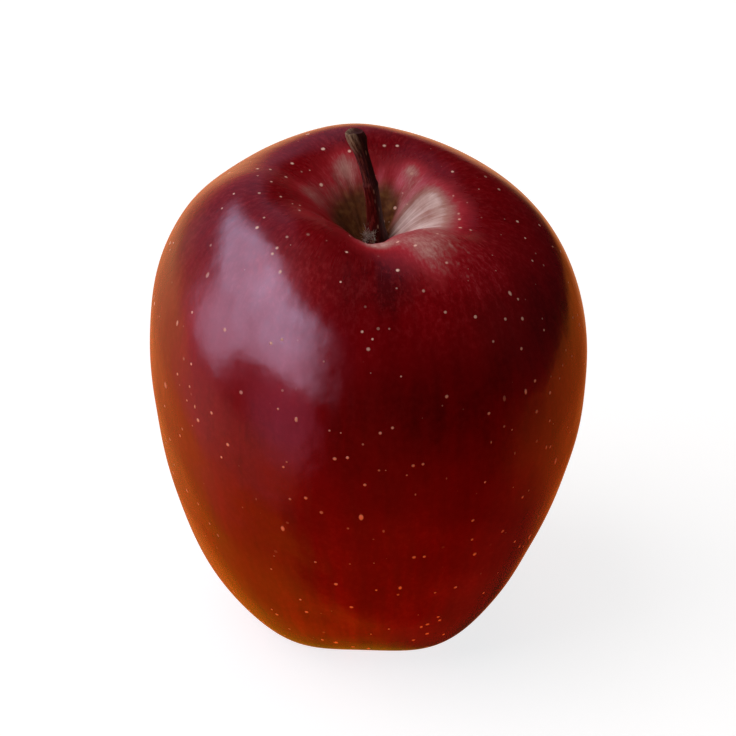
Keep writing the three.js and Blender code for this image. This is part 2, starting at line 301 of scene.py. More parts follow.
# The skin: x, y = r (1 + widen push) (cos a, sin a) and z = height - sink + lift push - saddle(a),
# tilted by the crown, moved along its own normal by its unevenness and the folds of the cavity, and
# cut off level at z = 0. It is then set to the CAD node's box. The unevenness is a sum of products
# of sines of x, y and z, and the folds are a sum of sines of the angle.
def fruitPart():
    size = apple
    radius, height, widen, lift, saddle, sink, order, length = fruitProfile().T[..., None]
    angle = np.pi / 2 + np.linspace(0, 2 * np.pi, size["columns"], endpoint=False)[None]
    push = lobeAction(angle, size["lobes"], size["lobeSharpness"]) - size["lobeMean"]
    dip = lobeAction(angle, size["saddles"], size["saddleSharpness"])
    reach = radius * (1 + widen * push)
    x, y = reach * np.cos(angle), reach * np.sin(angle)
    z = height - sink + lift * push - saddle * dip
    z = z + size["crownTilt"] * x * np.clip(z / size["crestHeight"], 0, 1) ** 2
    grid = np.stack([x, y, z], -1)
    around = np.roll(grid, -1, 1) - np.roll(grid, 1, 1)
    normal = unit(np.cross(around, np.gradient(grid, axis=0)))
    hollow = np.clip(order - 3, 0, 1)      # 0 on the crest and 1 on the floor of the cavity
    uneven = (np.sin(x / 6.1 + 1.1) * np.sin(y / 7.3 + 0.3) + np.sin(z / 8.7 + 2 + x / 19)
              + 0.6 * np.sin((x + z) / 4.3) * np.sin((y - z) / 5.2))
    folds = (0.6 * np.sin(9 * angle + 1.7 * np.sin(2 * angle) + 2 * hollow)
             + 0.35 * np.sin(22 * angle + 2.3 * np.sin(3 * angle)))
    folded = smoothStep(*size["foldStart"], hollow) * (1 - smoothStep(*size["foldEnd"], hollow))
    moved = (size["unevenness"] * uneven * smoothStep(*size["evenBelow"], z)
             + size["foldDepth"] * folds * folded)
    grid = grid + normal * moved[..., None]
    grid[..., 2] = np.maximum(grid[..., 2], 0)
    low, high = grid.reshape(-1, 3).min(0), grid.reshape(-1, 3).max(0)
    boxLow, boxHigh = (np.array(corner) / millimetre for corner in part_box("apple_body"))
    scale = (boxHigh - boxLow) / (high - low)
    shift = boxLow - low * scale
    full = np.ones_like(x)
    along = np.stack([size["skinRound"] * np.cos(angle) * full,
                      size["skinRound"] * np.sin(angle) * full, length * full], -1)
    values = {"alongSkin": along, **skinMarks(x, y, z, angle[0], order[:, 0])}
    grid = grid * scale + shift
    margin = size["uvMargin"]
    place = margin + (1 - 2 * margin) * length[:, 0] / length[-1, 0]
    return closedPart(grid, grid[0].mean(0), grid[-1].mean(0), place, values), shift


# How much of the pale ground shows through the red, how brown and corky the skin is, and how much
# deeper or thinner the red is than elsewhere. The pale ground is made stronger where light falls in
# the cavity and along its lip and weaker on its shaded wall, as painted light and shade, and the
# deeper or thinner red is painted shade and light, save that near the foot it is partly the paler
# ground. The ground and the cork end at a distance from the core that depends on the angle, and a
# patch adds amount * exp(-distance^2 / (2 reach^2)).
def skinMarks(x, y, z, angles, orders):
    size = apple
    fromCore = np.hypot(x, y)
    degreesRound = np.degrees(np.arctan2(y, x))
    places = np.array(size["paleAndLitPlaces"]).T
    paleEdge, strength, fade = (np.interp(degreesRound, places[0], row) for row in places[1:])
    russetEdge = np.interp(degreesRound, *np.array(size["russetPlaces"]).T)
    crown = smoothStep(*size["crownFrom"], z)
    pale = crown * strength * (1 - smoothStep(-1, 1, (fromCore - paleEdge) / fade))
    russet = crown * (1 - smoothStep(-1, 1, (fromCore - russetEdge) / size["russetFade"]))
    for turn, distance, reach, paler in size["paleAndLitPatches"]:
        centreX, centreY = distance * np.cos(np.radians(turn)), distance * np.sin(np.radians(turn))
        away = (x - centreX) ** 2 + (y - centreY) ** 2
        pale = pale + crown * paler * np.exp(-away / (2 * reach ** 2))
    basin = smoothStep(*size["basinBelow"], z)
    pale = np.minimum(pale, 1) + basin * smoothStep(*size["basinPaleEdge"], fromCore)
    russet = russet + basin * smoothStep(*size["basinRussetEdge"], fromCore)
    # The red is painted thinner on the lower flank as bounce light (partly paler ground) and deeper at the
    # very bottom as shade.
    tone = size["footPaleAndBounce"] * smoothStep(*size["footPaleAndBounceStart"], z) * smoothStep(*size["footPaleAndBounceEnd"], z)
    tone = tone + size["paintedUnderShade"] * smoothStep(*size["paintedUnderShadeEnd"], z)
    # Painted light and shade: each patch makes the red thinner where light fell or deeper where shade fell.
    for turn, level, reach, depth in size["paintedLightPatches"]:
        line = np.abs(np.angle(np.exp(1j * (angles - np.radians(turn))))).argmin()
        outside = np.where(orders < 3, z[:, line], np.inf)      # the cavity's wall doesn't count
        row = np.abs(outside - level).argmin()
        away = (x - x[row, line]) ** 2 + (y - y[row, line]) ** 2 + (z - z[row, line]) ** 2
        tone = tone + depth * np.exp(-away / (2 * reach ** 2))
    return {"paleGround": pale, "russet": russet, "tone": tone}


# Waxed apple skin: red blush over a pale ground, deeper in streaks that run from stem to calyx, with
# pale pores. The wax gives it a soft, slightly broken gloss. Light and shade are painted in too: the
# red is thinner where light fell and deeper where shade fell, and the pale ground is stronger on the
# lit wall of the cavity and along its lip. Sizes are in millimetres.
skin = {
    "blush": ((0.0, "#f4dcd8"), (0.16, "#b9857b"), (0.3, "#a04a48"), (0.4, "#9e1c26"),
              (0.5, "#900a15"), (0.64, "#80030d"), (0.8, "#74020a"), (1.0, "#540106")),
    "russet": ((0.0, "#2c1404"), (0.5, "#582e10"), (1.0, "#8a5f34")),
    "pore": "#ecc4b2", "dust": "#d8b0b0",
    "longNoises": {                # width, how many times as long, detail, roughness and distortion
        "streaks": (1.6, 9, 4, 0.6, 0.15), "broad": (1 / 0.22, 22 / 3, 3, 0.5, 0.0),
        "grain": (0.8, 1.5, 3, 0.7, 0.0)},
    "evenNoises": {                # size, detail and roughness
        "mottle": (15, 5, 0.6), "cork": (1.1, 2, 0.5), "ripple": (5, 2, 0.45)},
    "grainHeights": (67, 84), "grainStrengths": (0.5, 1.6), "grainOnPale": -0.85,
    "leastRed": 0.155, "streaksRed": 0.3, "broadRed": 0.3, "mottleRed": 0.55, "grainRed": 0.5,
    "paleRed": -0.62, "raggedRange": (0.5, 1.0), "raggedness": 0.78,
    "dustShare": 0.001, "dustOnGrain": -0.07,
    "poreSizes": (                 # cell, pore radius, upright stretch, share of cells and offset
        (2.6, 0.44, 1.0, 0.95, 0.0), (4.2, 0.48, 1.8, 0.85, 7.3), (11.0, 0.7, 1.2, 0.5, 3.1)),
    "smallestPore": 0.4, "poreCore": 0.5, "poreFade": 0.35,
    "roughness": (0.17, 0.25), "streakRange": (0.3, 0.7),
    "poreDull": 0.3, "russetDull": 0.4, "paleDull": 0.7,
    "rippleDepth": 0.25, "rippleStrength": 0.5, "streakRelief": 0.03, "grainRelief": 0.04, "poreRelief": 0.2,
}


def waxedAppleSkin():
    material, tree, shader = newMaterial("waxedAppleSkin", {"IOR": 1.45})
    along = addNode(tree, "Attribute", {"attribute_name": "alongSkin"}).outputs["Vector"]
    pale, russet, tone = (addNode(tree, "Attribute", {"attribute_name": name}).outputs["Fac"]
                          for name in ("paleGround", "russet", "tone"))
    place = addNode(tree, "TexCoord").outputs["Object"]
    noises = {}
    for name, (width, stretch, detail, roughness, distortion) in skin["longNoises"].items():
        scale = (1 / width, 1 / width, 1 / width / stretch)
        longPlace = addNode(tree, "Mapping", {"Scale": scale, "Vector": along})
        noises[name] = addNode(tree, "TexNoise", {"Scale": 1, "Detail": detail, "Roughness": roughness,
                                                  "Distortion": distortion, "Vector": longPlace})
    for name, (size, detail, roughness) in skin["evenNoises"].items():
        noises[name] = addNode(tree, "TexNoise", {"Scale": 1000 / size, "Detail": detail,
                                                  "Roughness": roughness, "Vector": place})
    streaks, broad = noises["streaks"], noises["broad"]
    # The grain is stronger on the crown than on the flanks, and weak where the ground shows.
    height = addNode(tree, "SeparateXYZ", {"Vector": place}).outputs["Z"]
    (low, high), (onFlank, onCrown) = skin["grainHeights"], skin["grainStrengths"]
    crown = addNode(tree, "MapRange", {"From Min": low * millimetre, "From Max": high * millimetre,
                                       "To Min": onFlank, "To Max": onCrown, "Value": height})
    calm = weighted(tree, 1.0, [(pale, skin["grainOnPale"])])
    grain = product(tree, weighted(tree, -0.5, [(noises["grain"], 1.0)]), crown, calm)
    # The edge of the pale ground is ragged: streaks shift it where pale and red are about even.
    low, high = skin["raggedRange"]
    ragged = addNode(tree, "MapRange", {"From Min": low, "From Max": high, "To Min": -skin["raggedness"],
                                        "To Max": skin["raggedness"],
                                        "Value": weighted(tree, broad, [(streaks, 0.5)])})
    atEdge = product(tree, ragged, pale, weighted(tree, 1.0, [(pale, -1.0)]))
    paleNow = addNode(tree, "Math", {"operation": "ADD", "use_clamp": True, 0: atEdge, 1: pale})
    # How dense the red is: each layer adds to it, the painted light and shade among them, and it is thin
    # where the pale ground shows.
    density = weighted(tree, skin["leastRed"], [
        (streaks, skin["streaksRed"]), (broad, skin["broadRed"]), (noises["mottle"], skin["mottleRed"]),
        (grain, skin["grainRed"]), (tone, 1.0), (paleNow, skin["paleRed"])])
    density.use_clamp = True
    blush = addNode(tree, "ValToRGB", {"stops": skin["blush"], "Fac": density})
    cork = addNode(tree, "ValToRGB", {"stops": skin["russet"], "Fac": noises["cork"]})
    dusty = weighted(tree, skin["dustShare"], [(grain, skin["dustOnGrain"])])
    dusty.use_clamp = True
    # Pores: in each size, a share of the cells holds one round or upright dot of its own brightness.
    pores = 0.0
    for cell, radius, stretch, share, offset in skin["poreSizes"]:
        scale = 1000 / cell
        porePlace = addNode(tree, "Mapping", {"Location": (offset, offset, offset),
                                              "Scale": (scale, scale, scale / stretch), "Vector": place})
        cells = addNode(tree, "TexVoronoi", {"Scale": 1, "Vector": porePlace})
        chance = addNode(tree, "SeparateColor", {"Color": cells.outputs["Color"]})
        least = skin["smallestPore"] * radius / cell
        widest = weighted(tree, least, [(chance, radius / cell - least)])
        core = product(tree, widest, skin["poreCore"])
        dot = addNode(tree, "MapRange", {"interpolation_type": "SMOOTHSTEP", "From Min": widest,
                                         "From Max": core, "Value": cells.outputs["Distance"]})
        present = addNode(tree, "MapRange", {"From Min": 1 - share, "From Max": 1 - share + skin["poreFade"],
                                             "Value": chance.outputs[1]})
        dot = product(tree, dot, present)
        pores = addNode(tree, "Math", {"operation": "MAXIMUM", 0: pores, 1: dot})
    colour = overlaid(tree, blush, [(russet, cork), (dusty, linear(skin["dust"])),
                                    (pores, linear(skin["pore"]))])
    tree.links.new(colour, shader.inputs["Base Color"])
    # Gloss: waxy on the red, and dull on pores, cork and the pale ground.
    (low, high), (glossy, duller) = skin["streakRange"], skin["roughness"]
    gloss = addNode(tree, "MapRange", {"From Min": low, "From Max": high, "To Min": glossy,
                                       "To Max": duller, "Value": streaks})
    roughness = weighted(tree, gloss, [(pores, skin["poreDull"]), (russet, skin["russetDull"]),
                                       (paleNow, skin["paleDull"])])
    tree.links.new(roughness.outputs[0], shader.inputs["Roughness"])
    relief = weighted(tree, noises["ripple"], [
        (streaks, skin["streakRelief"]), (grain, skin["grainRelief"]), (pores, skin["poreRelief"])])
    bump = addNode(tree, "Bump", {"Strength": skin["rippleStrength"], "Height": relief,
                                  "Distance": skin["rippleDepth"] * millimetre})
    tree.links.new(bump.outputs[0], shader.inputs["Normal"])
    return material


fruit, middle = fruitPart()
body = makePiece("fruit_skin", [fruit], waxedAppleSkin(), "OFBake")
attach(body, "root")
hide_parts("apple_body")
print("fruit made, moved by", middle.round(3))


# The stem, in millimetres; places along it are shares of its length above the cavity's floor, and
# sides of it are cosines of the angle from +X.
stem = {
    "rise": 22.4, "sway": 2.3, "bow": 9.0, "lean": (-2.85, 1.5), "sunk": 3.7,
    "radius": 1.28, "footRadius": 1.75, "knobRadius": 1.8, "footReach": 0.2,
    "footFlare": 1.5, "flarePlace": 0.03, "flareReach": 0.22,
    "scarPlace": 0.61, "scarReach": 0.022, "scarHeight": 0.16, "knobPlace": 0.95, "knobReach": 0.075,
    "slantPlace": 0.9, "slantSlope": 0.55, "sunkRows": 10, "rows": 230, "columns": 60,
    "barkFrom": (0.55, 0.65), "barkRelief": 0.0275, "ridgeLevel": 2.0, "smoothShare": 0.2, "lumpRelief": 0.1,
    "hollow": ((0.9, 0.03), (0.75, 0.16), (0.5, 0.34), (0.25, 0.4)),    # width and depth of each ring
    # The knob's pale colour is painted only on its left side, where the light falls: painted light.
    "hollowDepth": 0.42, "barkRound": 1.3, "knobFrom": (0.84, 0.93), "knobLitSide": (0.35, -0.35),
    # The stem's right side, turned away from the light, is painted dark as shade.
    "knobTurn": 0.3, "paintedShadeFrom": (-0.25, 0.7), "brokenFrom": (0.95, 0.6),
}


# The stem: rings of radius r(s) carried along the curve (1-s)^2 foot + 2(1-s)s bow + s^2 tip, where
# r(s) is the shaft plus bell-shaped swellings exp(-((s - place) / reach)^2), with ridges of bark
# that run along it and a broken end that slants and is hollowed in the middle.
def stemPart():
    size = stem
    foot = np.array([0, 0, apple["crestHeight"] - apple["cavityDepth"]])
    bow = foot + [size["sway"], 0, size["bow"]]
    tip = foot + [*size["lean"], size["rise"]]
    sunkRows, rows = size["sunkRows"], size["rows"]
    endWidth, endDrop = np.array(size["hollow"]).T
    below = np.linspace(size["sunk"], 0, sunkRows, endpoint=False)
    share = np.concatenate([np.zeros(sunkRows), np.linspace(0, 1, rows), np.ones(len(endWidth))])[:, None]
    drop = np.concatenate([below, np.zeros(rows), endDrop])[:, None]
    width = np.concatenate([np.ones(sunkRows + rows), endWidth])[:, None]
    angle = np.linspace(0, 2 * np.pi, size["columns"], endpoint=False)[None]
    spine = (1 - share) ** 2 * foot + 2 * (1 - share) * share * bow + share ** 2 * tip
    tangent = unit((1 - share) * (bow - foot) + share * (tip - bow))
    tangent[:sunkRows] = (0, 0, 1)
    across = unit(np.array([1.0, 0, 0]) - tangent * tangent[:, :1])
    side = np.cross(tangent, across)

    def swelling(place, reach):
        return np.exp(-((share - place) / reach) ** 2)

    knobSwelling = swelling(size["knobPlace"], size["knobReach"])
    flare = swelling(size["flarePlace"], size["flareReach"]) * (0.5 + 0.5 * np.cos(angle))
    radius = (size["radius"] + (size["footRadius"] - size["radius"]) * swelling(0, size["footReach"])
              + size["footFlare"] * flare
              + size["scarHeight"] * swelling(size["scarPlace"], size["scarReach"])
              + (size["knobRadius"] - size["radius"]) * knobSwelling)
    barkShare = smoothStep(*size["barkFrom"], share)
    ridges = (np.sin(7 * angle + 5 * share) + 0.8 * np.sin(13 * angle - 9 * share + 2 * np.sin(14 * share))
              + 0.6 * np.sin(19 * angle + 6 * np.sin(9 * share)) * np.sin(31 * share + 2 * angle))
    ribbed = size["smoothShare"] + (1 - size["smoothShare"]) * barkShare
    lumps = np.sin(3 * angle + 0.6) * knobSwelling
    radius = radius + size["barkRelief"] * (ridges - size["ridgeLevel"]) * ribbed
    radius = radius + size["lumpRelief"] * (lumps - 1) * barkShare
    offAcross = radius * width * np.cos(angle)
    offSide = radius * width * np.sin(angle)
    slant = np.clip(share - size["slantPlace"], 0, 1) / (1 - size["slantPlace"]) * size["slantSlope"]
    down = drop + slant * np.maximum(offAcross, 0)
    grid = (spine[:, None] + across[:, None] * offAcross[..., None] + side[:, None] * offSide[..., None]
            - tangent[:, None] * down[..., None])
    full = np.ones_like(offAcross)
    length = share * size["rise"] - np.concatenate([below, np.zeros(rows + len(endWidth))])[:, None]
    along = np.stack([size["barkRound"] * width * np.cos(angle),
                      size["barkRound"] * width * np.sin(angle), length * full], -1)
    # Painted light: the knob is pale only on its lit left side.
    knobLitSide = smoothStep(*size["knobLitSide"], np.cos(angle - size["knobTurn"]))
    values = {"alongStem": along, "bark": barkShare * full,
              "knob": smoothStep(*size["knobFrom"], share) * knobLitSide,
              # Painted shade: the stem's right side is painted dark.
              "darkSide": smoothStep(*size["paintedShadeFrom"], np.cos(angle)) * full,
              "broken": smoothStep(*size["brokenFrom"], width) * full}
    lowPole = spine[0] - [0, 0, size["sunk"]]
    return closedPart(grid, lowPole, spine[-1] - tangent[-1] * size["hollowDepth"], None, values)


# Apple wood bark: a dry, fibrous brown stalk with pale flecks, still smooth and crimson at its foot.
# It dried on the tree, so it has hardly any gloss. Its right side is painted dark as shade, and its
# knob is painted pale only on the left side, where the light falls. Sizes are in millimetres.
bark = {
    "shaft": ((0.0, "#1c0402"), (0.5, "#45170f"), (1.0, "#7c4033")),
    "foot": ((0.0, "#300403"), (0.6, "#5e1412"), (1.0, "#8c3430")),
    "knob": ((0.0, "#443024"), (0.5, "#806850"), (1.0, "#b8a58c")),
    # The dark colour is painted shade on the stem's right side.
    "fleck": "#a4846c", "broken": "#3a2318", "dark": "#240804", "paintedShadeShare": 0.8,
    "fibreWidth": 0.3, "fibreStretch": 7, "fibreRange": (0.36, 0.64),
    "fleckSize": 0.5, "fleckStretch": 3, "fleckEdge": (0.34, 0.16), "fleckShare": 0.25, "fleckRelief": 0.5,
    "roughness": (0.4, 0.8), "relief": (0.15, 0.8), "reliefDepth": 0.15,     # at its foot and on bark
}


def appleWoodBark():
    material, tree, shader = newMaterial("appleWoodBark", {"IOR": 1.48, "Specular IOR Level": 0.2})
    along = addNode(tree, "Attribute", {"attribute_name": "alongStem"}).outputs["Vector"]
    barkShare, knob, broken, darkSide = (addNode(tree, "Attribute", {"attribute_name": name}).outputs["Fac"]
                                         for name in ("bark", "knob", "broken", "darkSide"))
    narrow = 1 / bark["fibreWidth"]
    fibrePlace = addNode(tree, "Mapping", {"Scale": (narrow, narrow, narrow / bark["fibreStretch"]),
                                           "Vector": along})
    fibres = addNode(tree, "TexNoise", {"Scale": 1, "Detail": 4, "Roughness": 0.65, "Vector": fibrePlace})
    low, high = bark["fibreRange"]
    contrast = addNode(tree, "MapRange", {"From Min": low, "From Max": high, "Value": fibres})
    shaft, foot, knobWood = (addNode(tree, "ValToRGB", {"stops": bark[name], "Fac": contrast})
                             for name in ("shaft", "foot", "knob"))
    size = 1 / bark["fleckSize"]
    fleckPlace = addNode(tree, "Mapping", {"Scale": (size, size, size / bark["fleckStretch"]),
                                           "Vector": along})
    cells = addNode(tree, "TexVoronoi", {"Scale": 1, "Vector": fleckPlace})
    chance = addNode(tree, "SeparateColor", {"Color": cells.outputs["Color"]})
    low, high = bark["fleckEdge"]
    fleck = addNode(tree, "MapRange", {"From Min": low, "From Max": high, "Value": cells.outputs["Distance"]})
    present = addNode(tree, "MapRange", {"From Min": 1 - bark["fleckShare"], "Value": chance})
    fleck = product(tree, fleck, present)
    # The dark colour over the right side is painted shade, and the knob's colour, put only on its lit side,
    # is painted light.
    colour = overlaid(tree, foot, [
        (barkShare, shaft), (knob, knobWood), (broken, linear(bark["broken"])),
        (product(tree, darkSide, bark["paintedShadeShare"]), linear(bark["dark"])), (fleck, linear(bark["fleck"]))])
    tree.links.new(colour, shader.inputs["Base Color"])
    roughness, strength = (addNode(tree, "MapRange", {"To Min": smooth, "To Max": rough, "Value": barkShare})
                           for smooth, rough in (bark["roughness"], bark["relief"]))
    tree.links.new(roughness.outputs[0], shader.inputs["Roughness"])
    relief = weighted(tree, fibres, [(fleck, bark["fleckRelief"])])
    bump = addNode(tree, "Bump", {"Distance": bark["reliefDepth"] * millimetre, "Height": relief,
                                  "Strength": strength})
    tree.links.new(bump.outputs[0], shader.inputs["Normal"])
    return material


# The other pieces are worked out round the fruit's core, and go with it to where it was moved.
def overCore(part):
    part["points"] = part["points"] + [middle[0], middle[1], 0]
    return part


stalk = makePiece("stem_stalk", [overCore(stemPart())], appleWoodBark(), "OFBake")
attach(stalk, "root")
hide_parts("stem")
print("stem made")


# The down that is left round the stem's foot, in millimetres: fine hairs, drawn thicker than the
# real ones, which are about 0.02 mm, so that they show.
down = {
    "hairs": 200, "radius": 0.05, "taper": 0.75, "length": (0.4, 1.0), "low": 72.6, "high": 75.6,
    "turn": (-135, -80), "fromCore": 1.6, "depth": 0.2, "spread": 0.6, "rise": 0.35,
    "bend": 0.35, "bendUp": 0.1,
    "colours": ((0.3, "#9a8a74"), (0.5, "#cbb8ac"), (0.7, "#e4dccc")), "patchSize": 1.5,
}


# The hairs: roots at foot + 2(1-t)t bow + t^2 tip + r (cos a, sin a), where t is the share of the
# stem's rise that a root's height is at, each pointing outward with a random turn and bend.
def footDown():
    size = down
    random = np.random.default_rng(7)
    count = size["hairs"]
    angle = np.radians(random.uniform(*size["turn"], count))
    height = random.uniform(size["low"], size["high"], count)
    lift = (height - (apple["crestHeight"] - apple["cavityDepth"])) / stem["rise"]
    radius = size["fromCore"] + size["depth"] * random.random(count)
    centre = np.stack([2 * (1 - lift) * lift * stem["sway"] + lift ** 2 * stem["lean"][0],
                       lift ** 2 * stem["lean"][1]], -1)
    outward = np.stack([np.cos(angle), np.sin(angle), np.zeros(count)], -1)
    bases = np.stack([centre[:, 0], centre[:, 1], height], -1) + outward * radius[:, None]
    directions = unit(outward + random.normal(0, size["spread"], (count, 3)) + [0, 0, size["rise"]])
    lengths = random.uniform(*size["length"], count)
    droops = random.normal(0, size["bend"], (count, 3)) + [0, 0, size["bendUp"]]
    return overCore(hairPart(bases, directions, lengths, droops, size["radius"], size["taper"]))


# Dried plant hair: dead hairs, bleached in the air from grey-brown to cream, and quite matte.
def driedPlantHair():
    material, tree, shader = newMaterial("driedPlantHair", {"IOR": 1.5, "Roughness": 0.7})
    place = addNode(tree, "TexCoord").outputs["Object"]
    patches = addNode(tree, "TexNoise", {"Scale": 1000 / down["patchSize"], "Detail": 2, "Vector": place})
    colour = addNode(tree, "ValToRGB", {"stops": down["colours"], "Fac": patches})
    tree.links.new(colour.outputs[0], shader.inputs["Base Color"])
    return material


tuft = makePiece("stem_down", [footDown()], driedPlantHair())
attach(tuft, "root")
print("down made")


# The dried calyx, in millimetres: five sepals and the remains of the stamens under a small cup.
calyx = {
    "sepals": 5, "sepalWidth": 3.1, "sepalThickness": 0.55, "sepalTaper": 0.3, "curl": 0.35,
    "sepalTwist": 0.25, "sepalWave": 0.05, "sepalRows": 40, "sepalColumns": 28,
    "path": ((3.0, 0.0), (2.2, 2.4), (0.6, 4.6), (4.5, 5.1)),     # radius and depth under the cup
    "stamens": 11, "stamenRadius": 0.16, "stamenLength": 4.2, "stamenFoot": 0.5, "stamenSway": 0.3,
    "shortest": 0.75, "leans": (0.7, 1.3), "stamenColumns": 8,
    "antherSwell": 0.9, "antherPlace": 0.94, "antherReach": 0.06,
    "cupRadius": 3.8, "cupTop": 7.65, "cupThickness": 1.2, "cupWave": 0.02, "cupColumns": 60,
    "cupOutline": ((0.35, 1.0), (0.78, 0.98), (0.92, 0.8), (1, 0.45), (1, 0.1), (0.97, 0)),
    "colours": ((0.3, "#2e1f12"), (0.5, "#5e4a30"), (0.7, "#94805c")),
    "fibreWidth": 1 / 1.4, "fibreLength": 2.0, "fibreDepth": 0.15, "fibreStrength": 0.7,
}


# An oval section carried along a curve: centre + across w(s) cos a + normal (t(s) sin a + curl cos^2 a).
def carriedOval(centre, across, halfWidth, halfThickness, curl, columns):
    angle = np.linspace(0, 2 * np.pi, columns, endpoint=False)[None, :, None]
    tangent = unit(np.gradient(centre, axis=0))
    normal = unit(np.cross(tangent, across))[:, None]
    sideways = across[None, None] * halfWidth[:, None, None] * np.cos(angle)
    lifted = normal * (halfThickness[:, None, None] * np.sin(angle)
                       + curl * halfWidth[:, None, None] * np.cos(angle) ** 2)
    grid = centre[:, None] + sideways + lifted
    return closedPart(grid, grid[0].mean(0), grid[-1].mean(0))


# Turns evenly spaced round the core.
def spokes(count):
    return 2 * np.pi * np.arange(count) / count


# The directions outward and across at a turn: (cos a, sin a, 0) and (-sin a, cos a, 0).
def spokeAxes(turn):
    return np.array([np.cos(turn), np.sin(turn), 0]), np.array([-np.sin(turn), np.cos(turn), 0])


# The sepals are ovals carried down a cubic curve, w sqrt(sin(pi t)) wide for t from 0.22 to 0.96, so
# that they narrow to a tip. The stamens are round and end in an anther, a swelling
# exp(-((s - place) / reach)^2). The cup is its outline turned round the core, with a wave of five.
def calyxParts():
    size = calyx
    random = np.random.default_rng(3)
    top = size["cupTop"] - size["cupThickness"] / 2
    share = np.linspace(0, 1, size["sepalRows"])
    upward = np.array([0, 0, 1])
    parts = []
    for turn in spokes(size["sepals"]):
        outward, across = spokeAxes(turn)
        path = cubicCurve(size["path"], share)
        twist = size["sepalTwist"] * np.sin(5 * share + turn)[:, None] * across
        centre = path[:, :1] * outward + top * upward - path[:, 1:] * upward + twist
        width = size["sepalWidth"] / 2 * np.sqrt(np.sin(np.pi * (0.22 + 0.74 * share)))
        width = width * (1 + size["sepalWave"] * np.sin(17 * share + 3 * turn))
        thickness = size["sepalThickness"] / 2 * (1 - size["sepalTaper"] * share)
        parts.append(carriedOval(centre, across, width, thickness, -size["curl"], size["sepalColumns"]))
    anther = np.exp(-((share - size["antherPlace"]) / size["antherReach"]) ** 2)
    width = size["stamenRadius"] * (1 + size["antherSwell"] * anther)
    for turn in spokes(size["stamens"]):
        outward, across = spokeAxes(turn)
        length = size["stamenLength"] * random.uniform(size["shortest"], 1)
        lean = random.uniform(*size["leans"])
        away = size["stamenFoot"] + lean * share + size["stamenSway"] * np.sin(4 * share)
        centre = away[:, None] * outward + top * upward - (length * share)[:, None] * upward
        parts.append(carriedOval(centre[::2], across, width[::2], width[::2], 0, size["stamenColumns"]))
    angle = np.linspace(0, 2 * np.pi, size["cupColumns"], endpoint=False)[None]
    outline = np.array(size["cupOutline"])
    radius = size["cupRadius"] * outline[:, :1] * (1 + size["cupWave"] * np.sin(5 * angle))
    height = size["cupTop"] - size["cupThickness"] * outline[:, 1:] * np.ones_like(angle)
    cup = np.stack([radius * np.cos(angle), radius * np.sin(angle), height], -1)
    parts.append(closedPart(cup, (0, 0, height.min()), (0, 0, size["cupTop"])))
    return parts


# Dried calyx leaf: sepals that withered to a brown, papery felt with fibres along them, quite dull.
def driedCalyxLeaf():
    material, tree, shader = newMaterial("driedCalyxLeaf", {"IOR": 1.45, "Roughness": 0.8})
    place = addNode(tree, "TexCoord").outputs["Object"]
    fine = 1000 / calyx["fibreWidth"]
    stretched = addNode(tree, "Mapping", {"Scale": (fine, fine, 1000 / calyx["fibreLength"]),
                                          "Vector": place})
    fibres = addNode(tree, "TexNoise", {"Scale": 1, "Detail": 5, "Roughness": 0.65, "Vector": stretched})
    colour = addNode(tree, "ValToRGB", {"stops": calyx["colours"], "Fac": fibres})
    tree.links.new(colour.outputs[0], shader.inputs["Base Color"])
    bump = addNode(tree, "Bump", {"Strength": calyx["fibreStrength"], "Height": fibres,
                                  "Distance": calyx["fibreDepth"] * millimetre})
    tree.links.new(bump.outputs[0], shader.inputs["Normal"])
    return material


flower = makePiece("dried_calyx", [overCore(part) for part in calyxParts()], driedCalyxLeaf())
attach(flower, "root")
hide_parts("calyx")
print("calyx made")


